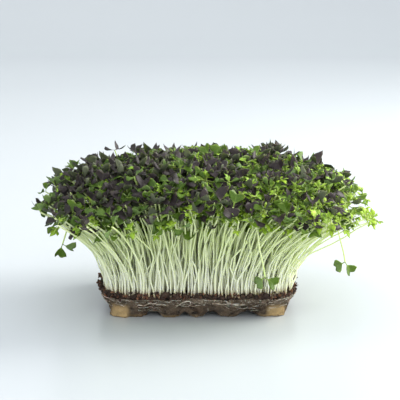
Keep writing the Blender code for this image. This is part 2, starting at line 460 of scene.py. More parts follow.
def line_tree():
    tree = Tree("grow_along_lines", {"Sides": "Int", "Skin": "Material"})
    curve = tree.node("GeometryNodeMeshToCurve", {}, {"Mesh": tree.inputs["Geometry"]})
    ring = tree.node(
        "GeometryNodeCurvePrimitiveCircle", {}, {"Resolution": tree.inputs["Sides"], "Radius": 1.0}
    )
    tube = tree.node(
        "GeometryNodeCurveToMesh",
        {},
        {"Curve": curve, "Profile Curve": ring, "Scale": tree.named("thickness"), "Fill Caps": True},
    )
    real = tree.node("GeometryNodeRealizeInstances", {}, {"Geometry": tube})
    tree.finish(
        tree.node("GeometryNodeSetMaterial", {}, {"Geometry": real, "Material": tree.inputs["Skin"]})
    )
    return tree


def scatter_tree(skins):
    """skins: how many finishes the scattered things have between them."""
    labels = [f"Skin {number}" for number in range(skins)]
    tree = Tree("put_on_points", {"Shapes": "Collection", **{label: "Material" for label in labels}})
    shapes = tree.node(
        "GeometryNodeCollectionInfo",
        {},
        {"Collection": tree.inputs["Shapes"], "Separate Children": True, "Reset Children": True},
    )
    placed = tree.node(
        "GeometryNodeInstanceOnPoints",
        {},
        {
            "Points": tree.inputs["Geometry"],
            "Instance": shapes,
            "Pick Instance": True,
            "Instance Index": tree.named("shape", "INT"),
            "Rotation": tree.named("turn", "FLOAT_VECTOR"),
            "Scale": tree.named("size", "FLOAT_VECTOR"),
        },
    )
    grown = tree.node("GeometryNodeRealizeInstances", {}, {"Geometry": placed})
    for number, label in enumerate(labels):
        chosen = tree.node(
            "FunctionNodeCompare",
            {"data_type": "INT", "operation": "EQUAL"},
            {2: tree.named("skin", "INT"), 3: number},
        )
        grown = tree.node(
            "GeometryNodeSetMaterial",
            {},
            {"Geometry": grown, "Selection": chosen, "Material": tree.inputs[label]},
        )
    tree.finish(grown)
    return tree


lines = line_tree()
scatters = {number: scatter_tree(number) for number in (1, 2, 3)}
print("trees:", [group.name for group in bpy.data.node_groups])


# %% [markdown]
# A tree needs something to grow from, so the first helper makes a bare mesh, with or without edges,
# and writes the attributes on its points. The second puts a tree on it and takes the result as a
# plain mesh.


# %% From points to a grown mesh
def points_mesh(name, points, edges=(), **attributes):
    mesh = bpy.data.meshes.new(name)
    mesh.from_pydata(points.reshape(-1, 3).tolist(), list(edges), [])
    for key, values in attributes.items():
        values = np.asarray(values)
        if values.dtype.kind == "i":
            mesh.attributes.new(key, "INT", "POINT").data.foreach_set("value", values.ravel())
        elif values.ndim > 1:
            data = mesh.attributes.new(key, "FLOAT_VECTOR", "POINT").data
            data.foreach_set("vector", values.ravel())
        else:
            mesh.attributes.new(key, "FLOAT", "POINT").data.foreach_set("value", values)
    return mesh


def run_tree(tree, mesh, values):
    """The plain mesh that the tree makes of this one."""
    carrier = bpy.data.objects.new(mesh.name, mesh)
    bpy.context.scene.collection.objects.link(carrier)
    modifier = carrier.modifiers.new("Grow", "NODES")
    modifier.node_group = tree.group
    for label, value in values.items():
        modifier[tree.keys[label]] = value
    graph = bpy.context.evaluated_depsgraph_get()
    grown = bpy.data.meshes.new_from_object(carrier.evaluated_get(graph))
    bpy.data.objects.remove(carrier)
    return grown


# %% [markdown]
# Three more helpers: one turns a grown mesh into a piece of the object, which rides on the block
# and stands for its CAD solids, and the other two run the two trees.


# %% Keep a piece, grow lines, scatter shapes
def keep(name, mesh, slot, *nodes):
    """Makes the mesh a piece of the object that stands for these CAD nodes."""
    mesh.shade_smooth()
    piece = bpy.data.objects.new(name, mesh)
    bpy.context.scene.collection.objects.link(piece)
    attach(piece, "root")
    if nodes:
        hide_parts(*nodes)
    return piece


def tubes(name, paths, radii, sides, skin, **marks):
    """paths is (lines, points, 3) and radii is (lines, points)."""
    many, steps = radii.shape
    first = (np.arange(many)[:, None] * steps + np.arange(steps - 1)[None, :]).ravel()
    edges = np.stack([first, first + 1], axis=1).tolist()
    flat = {key: values.ravel() for key, values in marks.items()}
    mesh = points_mesh(name, paths, edges, thickness=radii.ravel(), **flat)
    return run_tree(lines, mesh, {"Sides": sides, "Skin": skin})


def scattered(name, points, shape, turn, size, skin, shapes, skins, **marks):
    mesh = points_mesh(name, points, (), shape=shape, turn=turn, size=size, skin=skin, **marks)
    values = {f"Skin {number}": made for number, made in enumerate(skins)}
    return run_tree(scatters[len(skins)], mesh, {"Shapes": shapes, **values})


# %% [markdown]
# The stems are grown one tuft at a time, over the same five by four grid as the solids that stand
# for them, so that each tuft is a piece of its own.

# %% Grow the stems
COLUMN_NAMES = ("left_end", "left", "centre", "right", "right_end")
ROW_NAMES = ("front", "mid_front", "mid_back", "back")
STEM_RADIUS = (0.55 * MM, 0.38 * MM)
STEM_SIDES = 6
GREENEST_ABOVE_SOIL = 75 * MM

column = np.clip(((u + 1) / 2 * len(COLUMN_NAMES)).astype(int), 0, len(COLUMN_NAMES) - 1)
row = np.clip(((v + 1) / 2 * len(ROW_NAMES)).astype(int), 0, len(ROW_NAMES) - 1)
taper = STEM_RADIUS[0] + (STEM_RADIUS[1] - STEM_RADIUS[0]) * share[0, :, 0]
radii = thickness[:, None] * taper[None, :]
height = (path[:, :, 2] - SOIL_Z) / GREENEST_ABOVE_SOIL
tufts = {}
for r, row_name in enumerate(ROW_NAMES):
    for c, column_name in enumerate(COLUMN_NAMES):
        where = f"{row_name}_{column_name}"
        tufts[where] = np.flatnonzero((row == r) & (column == c))
        mine = tufts[where]
        tint = np.repeat(stem_tint[mine][:, None], STEM_POINTS, axis=1)
        grown = tubes(
            "tuft_of_stems_" + where, path[mine], radii[mine], STEM_SIDES, stem_skin,
            along=np.clip(height[mine], 0, 1), tint=tint,
        )
        keep("tuft_of_stems_" + where, grown, "pale_stem", "stems_" + where)
print("faces in the last tuft:", len(grown.polygons))

# %% [markdown]
# ## The shapes of the leaves
# One blade is a small grid: rows along it, nine points across. A list of half widths draws its
# outline, a dip in the last rows cuts the notch, and cupping and drooping bend it. The upper and
# the lower skin share the rim, so the blade is closed and thick in the middle like a real one.
# Forty faces a side are plenty for something under a centimetre long that is there by the
# thousand.

# %% Make a blade
COLUMNS = np.array([-1.0, -0.84, -0.58, -0.3, 0.0, 0.3, 0.58, 0.84, 1.0])


def blade(outline, notch, cup, droop, columns=COLUMNS, skew=0.0, start=0.0, turn=0.0, long=1.0):
    """(points, faces, marks) of one closed blade along +X, a unit long. outline has the place and
    the half width of each row; marks are along, across and upper for each point."""
    s, half = np.array(outline).T[:, :, None]
    t = columns[None, :]
    dip = notch * np.exp(-((t / 0.4) ** 2)) + 0.15 * np.abs(t) ** 3
    x = s * (1 - s**4 * dip)
    y = half * t * (1 + skew * t)
    z = cup * np.abs(half * t) ** 1.5 * 1.6 - droop * s**2.2 + 0.05 * np.sin(5 * s + 3 * t) * half
    full = np.sqrt(np.clip(1 - t**2, 0, 1)) * np.where((s > 0) & (s < 1), 1.0, 0.0)
    thick = 0.022 * full
    angle = math.radians(turn)
    x, y = (
        start + long * (x * math.cos(angle) - y * math.sin(angle)),
        long * (x * math.sin(angle) + y * math.cos(angle)),
    )
    rows, wide = x.shape
    index = np.arange(rows * wide).reshape(rows, wide)
    rim = full <= 0
    under = np.where(rim, index, -1)
    under[~rim] = rows * wide + np.arange((~rim).sum())
    upper_points = np.stack([x, y, z * long + thick], axis=-1).reshape(-1, 3)
    lower_points = np.stack([x, y, z * long - thick], axis=-1)[~rim]
    along = np.broadcast_to(s, x.shape)
    sides = np.broadcast_to(t, x.shape)
    marks = np.concatenate(
        [
            np.stack([along, sides, np.where(rim, 0.5, 1.0)], axis=-1).reshape(-1, 3),
            np.stack([along, sides, np.zeros(x.shape)], axis=-1)[~rim],
        ]
    )
    faces = []
    for sheet, flip in ((index, False), (under, True)):
        for a in range(rows - 1):
            for b in range(wide - 1):
                corner = (sheet[a, b], sheet[a + 1, b], sheet[a + 1, b + 1], sheet[a, b + 1])
                faces.append(tuple(int(i) for i in (reversed(corner) if flip else corner)))
    return np.concatenate([upper_points, lower_points]), faces, marks


# %% [markdown]
# One blade is a leaf of mustard or radish, and three small ones together are a sprig of cress. Either
# way the blades go into one mesh, with their marks as attributes for the finishes to read.


# %% Blades into one shape
def shape_object(name, blades):
    """An object with all these blades in one mesh, and their marks as attributes."""
    points, faces, marks, offset = [], [], [], 0
    for more_points, more_faces, more_marks in blades:
        faces += [tuple(i + offset for i in face) for face in more_faces]
        offset += len(more_points)
        points.append(more_points)
        marks.append(more_marks)
    points, marks = np.concatenate(points), np.concatenate(marks)
    mesh = bpy.data.meshes.new(name)
    mesh.from_pydata(points.tolist(), [], faces)
    for number, key in enumerate(("along", "across", "upper")):
        data = mesh.attributes.new(key, "FLOAT", "POINT").data
        data.foreach_set("value", np.ascontiguousarray(marks[:, number]))
    mesh.shade_smooth()
    return bpy.data.objects.new(name, mesh)


# %% [markdown]
# The library has four hearts, a round leaf, a pointed first true leaf and two sprigs of cress. The
# scattering tree numbers them in alphabetical order, so each name has a letter that fixes its place.

# %% The library of leaves
HEART = [(0.0, 0.035), (0.26, 0.045), (0.40, 0.27), (0.58, 0.48), (0.80, 0.56), (1.0, 0.42)]
ROUND = [(0.0, 0.035), (0.26, 0.045), (0.40, 0.24), (0.60, 0.40), (0.82, 0.42), (1.0, 0.26)]
POINTED = [
    (0.0, 0.04), (0.16, 0.10), (0.34, 0.30), (0.52, 0.34), (0.66, 0.30), (0.84, 0.17), (1.0, 0.03),
]
LOBE = [(0.0, 0.05), (0.35, 0.10), (0.62, 0.19), (0.85, 0.19), (1.0, 0.09)]
NARROW = np.array([-1.0, 0.0, 1.0])

leaf_shapes = bpy.data.collections.new("leaf_shapes")
LEAVES = (
    ("leaf_a_heart_open", [blade(HEART, 0.19, 0.35, 0.06)]),
    ("leaf_b_heart_cupped", [blade(HEART, 0.21, 0.95, 0.10)]),
    ("leaf_c_heart_drooping", [blade(HEART, 0.17, -0.50, 0.26)]),
    ("leaf_d_heart_lopsided", [blade(HEART, 0.20, 0.55, -0.12, skew=0.18)]),
    ("leaf_e_round", [blade(ROUND, 0.10, 0.60, 0.12)]),
    ("leaf_f_pointed", [blade(POINTED, -0.04, 0.9, 0.16)]),
    (
        "leaf_g_cress",
        [
            blade(LOBE, 0.0, 0.5, 0.14, NARROW),
            blade(LOBE, 0.0, 0.5, 0.05, NARROW, start=0.30, turn=48, long=0.58),
            blade(LOBE, 0.0, 0.5, 0.05, NARROW, start=0.30, turn=-48, long=0.58),
        ],
    ),
    (
        "leaf_h_cress_curled",
        [
            blade(LOBE, 0.0, 1.2, 0.34, NARROW),
            blade(LOBE, 0.0, 0.9, -0.10, NARROW, start=0.34, turn=40, long=0.62),
            blade(LOBE, 0.0, 0.9, 0.25, NARROW, start=0.28, turn=-56, long=0.54),
        ],
    ),
)
for name, blades in LEAVES:
    leaf_shapes.objects.link(shape_object(name, blades))

# %% [markdown]
# Every sprout carries a pair of seed leaves, one on each side of its tip, and about a third of
# them have begun a first true leaf between the two. Leaves in the open lie nearly flat. Near the
# edge they tip over outwards, because the sprouts there lean, and the light comes from the side.

# %% Draw the leaves
HEARTS, ROUND_LEAF, TRUE_LEAF, SPRIGS = [0, 1, 2, 3], 4, 5, [6, 7]
TIP_OVER = np.radians(38)
TRUE_LEAF_SHARE = 0.36
tip_out = np.arctan2(tip[:, 1], tip[:, 0])
edge = np.clip(out, 0, 1.1)


def draw_leaves(mine, yaw, pitch, length, shapes):
    """One leaf on the tip of each of these sprouts."""
    many = len(mine)
    away = np.cos(yaw - tip_out[mine]) * edge[mine]
    pitch = pitch - TIP_OVER * away
    roll = chance.normal(0, 0.38, many)
    stretch = chance.uniform(0.86, 1.12, (many, 3))
    # The tint is partly random and higher on lower sprouts. Its 0.2 * u term is painted light: it makes
    # leaves lighter towards the right, where the window lamp stands.
    tint = stem_tint[mine] * 0.4 + chance.random(many) * 0.5 + 0.5 * (0.7 - level[mine]) + 0.2 * u[mine]
    return {
        "sprout": mine,
        "points": tip[mine],
        "turn": np.stack([roll, -pitch, yaw], axis=-1),
        "size": stretch * length[:, None],
        "shape": shapes,
        "skin": kind[mine],
        "tint": np.clip(tint, 0, 1),
    }


everyone = np.arange(count)
yaw = chance.uniform(0, 2 * math.pi, count)
cress_length = chance.uniform(5.6, 8.4, count)
other_length = chance.triangular(4.8, 6.6, 10.4, count)
seed_length = np.where(kind == CRESS, cress_length, other_length) * MM
drawn = []
for half_turn in (0.0, math.pi):
    heart = chance.choice(HEARTS, count, p=[0.34, 0.24, 0.22, 0.20])
    green = chance.choice([0, 2, 3, ROUND_LEAF], count, p=[0.26, 0.18, 0.18, 0.38])
    cress = chance.choice(SPRIGS, count)
    shapes = np.select([kind == PURPLE, kind == GREEN], [heart, green], cress)
    pitch = chance.normal(math.radians(20), math.radians(20), count)
    turn = yaw + half_turn + chance.normal(0, 0.3, count)
    length = seed_length * chance.uniform(0.86, 1.1, count)
    drawn.append(draw_leaves(everyone, turn, pitch, length, shapes))
young = np.flatnonzero(chance.random(count) < TRUE_LEAF_SHARE)
drawn.append(
    draw_leaves(
        young,
        chance.uniform(0, 2 * math.pi, len(young)),
        chance.normal(math.radians(52), math.radians(16), len(young)),
        chance.uniform(3.6, 6.8, len(young)) * MM,
        np.where(kind[young] == CRESS, SPRIGS[1], TRUE_LEAF),
    )
)
leaves = {key: np.concatenate([part[key] for part in drawn]) for key in drawn[0]}
print("leaves:", len(leaves["shape"]))

# %% [markdown]
# The leaves are grown over the same tufts as the stems. Each cluster is a piece and stands for the
# solid over its tuft.

# %% Grow the leaves
skins = list(PLANTS.values())
for where, mine in tufts.items():
    chosen = np.isin(leaves["sprout"], mine)
    part = {key: values[chosen] for key, values in leaves.items() if key != "sprout"}
    grown = scattered("cluster_of_leaves_" + where, shapes=leaf_shapes, skins=skins, **part)
    keep("cluster_of_leaves_" + where, grown, "green_leaf", "leaves_" + where)
print("faces in the last cluster:", len(grown.polygons))

# %% [markdown]
# ## The root block
# The block is a felt: fine white roots have run through the peat until it holds together like a
# cake. The tray's sloping walls, round corners and dimpled floor are cast into it: each dimple of
# the tray has left a foot. Fifteen feet stand in rows, and one more stands near each corner.

# %% The block's sizes and feet
BLOCK_BOTTOM = np.array([52.0, 38.0]) * MM
BLOCK_TOP = np.array([57.0, 42.0]) * MM
BLOCK_LIFT = 3.2 * MM
BLOCK_TOP_Z = 11.6 * MM
FOOT_PITCH = (18.0 * MM, 31.0 * MM)
FEET = [
    (
        (i - 2) * FOOT_PITCH[0] + chance.normal(0, 1.4) * MM,
        (j - 1) * FOOT_PITCH[1],
        chance.uniform(5.2, 7.0) * MM,
    )
    for i in range(5)
    for j in range(3)
]
CORNERS = [(-44.5, -31.5, 6.4), (44.5, -31.5, 5.2), (-44.5, 31.5, 5.6), (44.5, 31.5, 5.6)]
FOOT_EDGE = 1.6 * MM
FOOT_FLARE = 4.2 * MM
print("feet:", len(FEET) + len(CORNERS))

# %% [markdown]
# The block could be sculpted, but it follows rules, so it is made of rings: out along the underside,
# up the wall and back in over the top. Where there is a foot, the ring is lowered to the table, and
# the wall bulges out over the corner feet.

# %% Draw the block's rings
AROUND = 460
angle = np.linspace(0, 2 * math.pi, AROUND, endpoint=False)
square = np.stack([np.cos(angle), np.sin(angle)])
square = square / np.abs(square).max(axis=0)


def foot_share(x, y, spare=0.0, soft=FOOT_EDGE):
    """1 where a foot stands on the table, 0 between the feet."""
    found = np.zeros_like(x)
    for foot_x, foot_y, reach in FEET + [tuple(value * MM for value in corner) for corner in CORNERS]:
        near = np.hypot(x - foot_x, y - foot_y)
        found = np.maximum(found, np.clip((reach + spare - near) / soft, 0, 1))
    return found**2 * (3 - 2 * found)


def block_ring(share, z, half, under):
    x, y = plan(square[0] * share, square[1] * share, *half)
    z = np.full_like(x, z)
    if under:
        spare = FOOT_FLARE * max(0, share - 0.8) / 0.2
        z = z * (1 - foot_share(x, y, spare, FOOT_EDGE + 2.9 * MM * share**8))
    return np.stack([x, y, z], axis=-1)


rings = [block_ring(s, BLOCK_LIFT, BLOCK_BOTTOM, True) for s in np.linspace(0.04, 0.985, 34)]
for up in np.linspace(0.03, 1.0, 24):
    half = BLOCK_BOTTOM + (BLOCK_TOP - BLOCK_BOTTOM) * up
    tuck = 1.1 * MM * (math.exp(-up * 12) + math.exp((up - 1) * 14))
    z = BLOCK_LIFT + (BLOCK_TOP_Z - BLOCK_LIFT) * up
    ring = block_ring(1.0, z, half - tuck, False)
    lowered = foot_share(ring[:, 0], ring[:, 1], FOOT_FLARE, 4.5 * MM) * max(0.0, 1 - up * 2.6)
    ring[:, 2] -= lowered * BLOCK_LIFT
    for x, y, reach in CORNERS:
        away = ring[:, :2] - np.array([x, y]) * MM
        near = np.linalg.norm(away, axis=1, keepdims=True)
        full = reach * MM * (1 - max(0.0, up - 0.45) ** 2 * 1.6)
        pushed = np.array([x, y]) * MM + away / near * full
        ring[:, :2] = np.where(near < full, pushed, ring[:, :2])
    rings.append(ring)
rings += [block_ring(s, BLOCK_TOP_Z, BLOCK_TOP, False) for s in np.linspace(0.95, 0.05, 10)]
print("rings:", len(rings), "points:", len(rings) * AROUND)


# %% [markdown]
# A fan of triangles closes each end of the rings. Then every point moves along its normal by three
# layers of noise, from blotches of nearly a centimetre down to grains of about a millimetre.


# %% Close the rings into a skin and roughen it
def skin_of(rings):
    """A closed mesh through the rings, with a point at each end."""
    wide = len(rings[0])
    points = np.concatenate([rings[0].mean(axis=0)[None], *rings, rings[-1].mean(axis=0)[None]])
    last = len(points) - 1
    faces = [(0, 1 + (i + 1) % wide, 1 + i) for i in range(wide)]
    for level in range(len(rings) - 1):
        a, b = 1 + level * wide, 1 + (level + 1) * wide
        faces += [(a + i, a + (i + 1) % wide, b + (i + 1) % wide, b + i) for i in range(wide)]
    a = 1 + (len(rings) - 1) * wide
    faces += [(a + i, a + (i + 1) % wide, last) for i in range(wide)]
    return points, faces


def roughened(name, points, faces, layers):
    """The mesh with each point moved along its normal by these (size, depth) layers of noise."""
    mesh = bpy.data.meshes.new(name)
    mesh.from_pydata(points.tolist(), [], faces)
    built = bmesh.new()
    built.from_mesh(mesh)
    bmesh.ops.recalc_face_normals(built, faces=built.faces[:])
    built.normal_update()
    moves = []
    for vert in built.verts:
        depth = sum(deep * noise.noise(vert.co / wide) for wide, deep in layers)
        moves.append(vert.normal * depth)
    for vert, move in zip(built.verts, moves):
        vert.co += move
        vert.co.z = max(vert.co.z, 0.0)
    built.to_mesh(mesh)
    built.free()
    return mesh


block_points, block_faces = skin_of(rings)
block_mesh = roughened(
    "root_felt_block", block_points, block_faces,
    [(9 * MM, 1.6 * MM), (3.4 * MM, 1.0 * MM), (1.3 * MM, 0.45 * MM)],
)
print("block faces:", len(block_mesh.polygons))

# %% [markdown]
# The felt's colour is a tangle too. Thin pale lines come from the places where a cloud of noise
# crosses its middle value: several such fields at different sizes, laid over brown peat, read as
# roots crossing each other. The feet, most of all those near the ends, are stained a warm yellow.

# %% Felt finish
PEAT_DARK, PEAT_LIGHT = (0.009, 0.005, 0.003), (0.075, 0.047, 0.028)
ROOT_MAT, ROOT_LINE = (0.25, 0.195, 0.14), (0.42, 0.36, 0.28)
FOOT_STAIN = (0.46, 0.32, 0.15)
STAIN_FROM_MIDDLE = 45.0 * MM


def felt_finish():
    made, shader, start = new_finish("felt_of_roots", Specular_IOR_Level=0.3)
    place = place_of(start)
    up = height_of(place)
    along_block = abs(place.node("ShaderNodeSeparateXYZ", {}, {"Vector": place}, "X"))
    peat = cloud(place, 3.5 * MM, 5.0, 0.65)
    warp = place.node(
        "ShaderNodeVectorMath",
        {"operation": "MULTIPLY"},
        {0: place, 1: (1.0, 1.0, 1.7)},
    )
    wide_roots = abs(cloud(warp, 4.2 * MM, 2.0) - 0.5).part(0.035, 0.004)
    fine_roots = abs(cloud(warp, 1.5 * MM, 2.0) - 0.5).part(0.05, 0.01)
    mat = cloud(place, 7.0 * MM, 2.0).part(0.38, 0.62)
    colour = peat.part(0.3, 0.66).between(PEAT_DARK, PEAT_LIGHT)
    # Towards the top the felt turns paler and its roots show more. This is partly the real root mat and
    # partly a painted highlight on the top of the wall.
    high = up.part(6.5 * MM, 11.0 * MM)
    colour = (mat * 0.22 + high * 0.22).between(colour, ROOT_MAT)
    near_ends = abs(along_block - STAIN_FROM_MIDDLE).part(7.0 * MM, 3.0 * MM)
    stain = near_ends * up.part(9.5 * MM, 4.5 * MM) + up.part(2.6 * MM, 0.8 * MM) * 0.35
    stain = stain * cloud(place, 5.0 * MM).part(0.30, 0.50)
    colour = (stain * 0.9).between(colour, FOOT_STAIN)
    roots = (wide_roots * 0.6 + fine_roots * 0.30) * (0.35 + high * 0.65)
    colour = roots.part(0.0, 1.0).between(colour, ROOT_LINE)
    feed(
        shader,
        Base_Color=colour,
        Roughness=0.95 - roots * 0.25,
        Normal=bumps(peat + roots * 0.8, 0.9 * MM, 1.0),
    )
    return made


felt = felt_finish()
block_mesh.materials.append(felt)
keep("root_felt_block", block_mesh, "root_felt", "root_block")
print("felt finish nodes:", len(felt.node_tree.nodes))


# %% [markdown]
# ## Roots on the outside
# Some roots lie on the wall of the block, and they are what makes it look like felt and not like
# earth. Each is a line that wanders over the wall, a quarter of a millimetre thick. A few thick,
# white ones on the front have come loose and curl.

# %% Draw the roots on the wall
ROOTS = 240
ROOT_POINTS = 14


def wall_point(theta, up, proud):
    """Points on the block's wall at these angles and heights, standing this far out of it."""
    edge_u, edge_v = np.cos(theta), np.sin(theta)
    scale = np.maximum(np.abs(edge_u), np.abs(edge_v))
    half = BLOCK_BOTTOM + (BLOCK_TOP - BLOCK_BOTTOM) * up[..., None]
    x, y = plan(edge_u / scale, edge_v / scale, half[..., 0] + proud, half[..., 1] + proud)
    return np.stack([x, y, BLOCK_LIFT + (BLOCK_TOP_Z - BLOCK_LIFT) * up], axis=-1)


def wandering(low, high, steps, step_size):
    """Random walks, one a row, that start between low and high."""
    start = chance.uniform(low, high, (ROOTS, 1))
    return start + np.cumsum(chance.normal(0, step_size, (ROOTS, steps)), axis=1)


drift = chance.normal(0, 0.012, (ROOTS, 1)) * np.arange(ROOT_POINTS)
root_theta = wandering(0, 2 * math.pi, ROOT_POINTS, 0.006) + drift
root_up = np.clip(wandering(0.15, 1.10, ROOT_POINTS, 0.06), 0.10, 1.0)
proud = 0.25 * MM + 0.25 * MM * np.sin(wandering(0, 6, ROOT_POINTS, 0.5))
root_path = wall_point(root_theta, root_up, proud)
root_radius = np.repeat(chance.uniform(0.06, 0.17, (ROOTS, 1)) * MM, ROOT_POINTS, axis=1)
root_radius *= np.linspace(1.0, 0.5, ROOT_POINTS)[None, :]
print("roots on the wall:", ROOTS)

# %% [markdown]
# A young root is white and an old one is stained by the peat. One cloud of noise mixes the two
# colours along it.


# %% Root finish and the roots themselves
def root_finish():
    made, shader, start = new_finish(
        "root_skin", Subsurface_Weight=0.2, Subsurface_Scale=0.8 * MM, Specular_IOR_Level=0.4
    )
    place = place_of(start)
    grain = cloud(place, 2.5 * MM)
    colour = grain.part(0.35, 0.65).between((0.20, 0.15, 0.10), (0.66, 0.61, 0.52))
    feed(shader, Base_Color=colour, Roughness=0.5 + grain * 0.3, Normal=bumps(grain, 0.1 * MM))
    return made


root_skin = root_finish()
keep("fine_roots", tubes("fine_roots", root_path, root_radius, 5, root_skin), "white_root")

# %% [markdown]
# The loose white roots at the front are drawn as three short curves: one with a curl in it near
# the middle, and two that run along under the rim. Each row says where a root starts and ends, how
# high it lies, how far and how fast it wavers, and how big its curl is, in millimetres.

# %% Loose white roots
FRONT_ROOTS = {
    "front_root_1": (-34.0, -17.0, 9.0, 0.9, 1.5, 0.0),
    "front_root_2": (-13.0, 4.0, 8.4, 0.9, 1.6, 2.2),
    "front_root_3": (8.0, 27.0, 9.2, 0.7, 1.0, 0.0),
}
LOOSE_POINTS = 34
LOOSE_RADIUS = 0.30 * MM
CURL_AT = 0.35
for name, (start_x, end_x, high, wave, waves_on, curl) in FRONT_ROOTS.items():
    s = np.linspace(0, 1, LOOSE_POINTS)
    waves = np.outer(s, [5.0, 9.0, 17.0]) * waves_on + chance.uniform(0, 6.3, 3)
    drift = np.sin(waves) @ [0.6, 0.35, 0.2]
    sideways = np.sin(4 * math.pi * s) * np.exp(-(((s - CURL_AT) / 0.18) ** 2))
    x = start_x + (end_x - start_x) * s - curl * sideways
    z = high + wave * drift + curl * np.exp(-(((s - CURL_AT) / 0.12) ** 2))
    y = -(38.0 + 4.0 * (z - 3.2) / 8.4) - 0.8 - 0.3 * np.sin(9 * s)
    curve = (np.stack([x, y, z], axis=-1) * MM)[None]
    thick = np.full((1, LOOSE_POINTS), LOOSE_RADIUS) * np.linspace(1.1, 0.6, LOOSE_POINTS)[None]
    keep("loose_" + name, tubes("loose_" + name, curve, thick, 7, root_skin), "white_root", name)
print("loose roots:", len(FRONT_ROOTS))

# %% [markdown]
# ## Peat and seed hulls
# Between block and stems lies a thin, dark, crumbly layer: peat, and the hulls that the seeds
# threw off. Only its edge shows, under the first stems, so that is where most of the loose crumbs
# and hulls go. The layer itself is made of rings like the block.

# %% The layer of peat
SOIL_HALF = np.array([55.5, 40.5]) * MM
SOIL_UNDER = [(0.3, 11.9), (0.8, 11.9), (0.985, 11.9)]
SOIL_EDGE = [(1.0, 12.3), (1.0, 12.8), (0.995, 13.3), (0.98, 13.8)]
SOIL_OVER = [(s, 13.9) for s in np.linspace(0.96, 0.04, 26)]
soil_rings = [block_ring(s, z * MM, SOIL_HALF, False) for s, z in SOIL_UNDER + SOIL_EDGE + SOIL_OVER]
soil_points, soil_faces = skin_of(soil_rings)
soil_mesh = roughened(
    "peat_layer", soil_points, soil_faces, [(6 * MM, 0.9 * MM), (2 * MM, 0.9 * MM), (1 * MM, 0.5 * MM)]
)
print("peat faces:", len(soil_mesh.polygons))

# %% [markdown]
# Peat is nearly black and dull, and a hull is red brown with a little gloss. The pattern is the same
# grain in both, so one function makes both finishes.


# %% Finishes of peat and hulls

def crumbly_finish(name, dark, light, size, roughness):
    made, shader, start = new_finish(name, Specular_IOR_Level=0.35)
    place = place_of(start)
    grain = cloud(place, size, 5.0, 0.7)
    tint = attribute(start, "tint")
    colour = (grain.part(0.35, 0.7) * 0.6 + tint * 0.5).between(dark, light)
    feed(
        shader,
        Base_Color=colour,
        Roughness=roughness + grain * 0.2,
        Normal=bumps(grain, size * 0.5),
    )
    return made


peat_skin = crumbly_finish("peat_crumb", (0.010, 0.007, 0.006), (0.095, 0.055, 0.038), 1.2 * MM, 0.75)
hull_skin = crumbly_finish("seed_hull", (0.050, 0.018, 0.012), (0.270, 0.120, 0.060), 0.9 * MM, 0.4)
soil_mesh.materials.append(peat_skin)
keep("peat_layer", soil_mesh, "dark_peat", "soil_layer")
print("finishes:", peat_skin.name, hull_skin.name)

# %% [markdown]
# A crumb is a lump: a ball of eighty faces pushed about by noise. A hull is half of an empty seed
# coat: a bowl with a thickness. Four crumbs and two hulls, turned and stretched at random, don't
# look repeated.


# %% Shapes of crumbs and hulls
def crumb(place, number):
    return place * (1.0 + 0.55 * noise.noise(place * 1.3 + Vector((9 * number, 0, 0))))


def hull(place, rim):
    """Points above the rim fold down inside, which leaves a bowl."""
    if place.z <= rim:
        return place
    return Vector((place.x, place.y, 2 * rim - place.z)) * 0.86


def add_shape(name, moved, setting):
    built = bmesh.new()
    bmesh.ops.create_icosphere(built, subdivisions=2, radius=1.0)
    for vert in built.verts:
        vert.co = moved(vert.co.copy(), setting)
    mesh = bpy.data.meshes.new(name)
    built.to_mesh(mesh)
    built.free()
    crumb_shapes.objects.link(bpy.data.objects.new(name, mesh))


CRUMBS = 4
HULL_RIMS = (-0.05, 0.3)
crumb_shapes = bpy.data.collections.new("crumb_shapes")
for number in range(CRUMBS):
    add_shape(f"crumb_{number}", crumb, number)
for number, rim in enumerate(HULL_RIMS):
    add_shape(f"hull_{number}", hull, rim)

# %% [markdown]
# Three quarters of the crumbs and hulls lie along the rim, where they are seen. The rest lie on the
# peat between the stems.

# %% Scatter them along the edge and over the top
EDGE_BITS = 1500
TOP_BITS = 500
HULL_SHARE = 0.34
theta = chance.uniform(0, 2 * math.pi, EDGE_BITS)
rim_up = np.clip(chance.normal(1.18, 0.17, EDGE_BITS), 0.8, 1.7)
rim_bits = wall_point(theta, rim_up, chance.uniform(-2.4, 0.0, EDGE_BITS) * MM - 0.9 * MM * (rim_up > 1))
top_u, top_v = chance.uniform(-0.98, 0.98, (2, TOP_BITS))
top_x, top_y = plan(top_u, top_v, *SOIL_HALF)
top_bits = np.stack([top_x, top_y, np.full(TOP_BITS, 14.3 * MM)], axis=-1)
bits = np.concatenate([rim_bits, top_bits])
many = len(bits)
is_hull = chance.random(many) < HULL_SHARE
hull_size = chance.uniform(0.55, 1.0, many)
crumb_size = chance.gamma(3.0, 0.24, many).clip(0.25, 1.9)
bit_size = np.where(is_hull, hull_size, crumb_size) * MM
stretch = chance.uniform(0.6, 1.2, (many, 3))
grown = scattered(
    "crumbs_and_hulls", bits,
    shape=np.where(
        is_hull, CRUMBS + chance.integers(0, len(HULL_RIMS), many), chance.integers(0, CRUMBS, many)
    ),
    turn=chance.uniform(0, 2 * math.pi, (many, 3)),
    size=stretch * bit_size[:, None],
    skin=is_hull.astype(int),
    shapes=crumb_shapes, skins=[peat_skin, hull_skin],
    tint=chance.random(many),
)
keep("crumbs_and_hulls", grown, "dark_peat")
print("crumbs and hulls:", many, "faces:", len(grown.polygons))
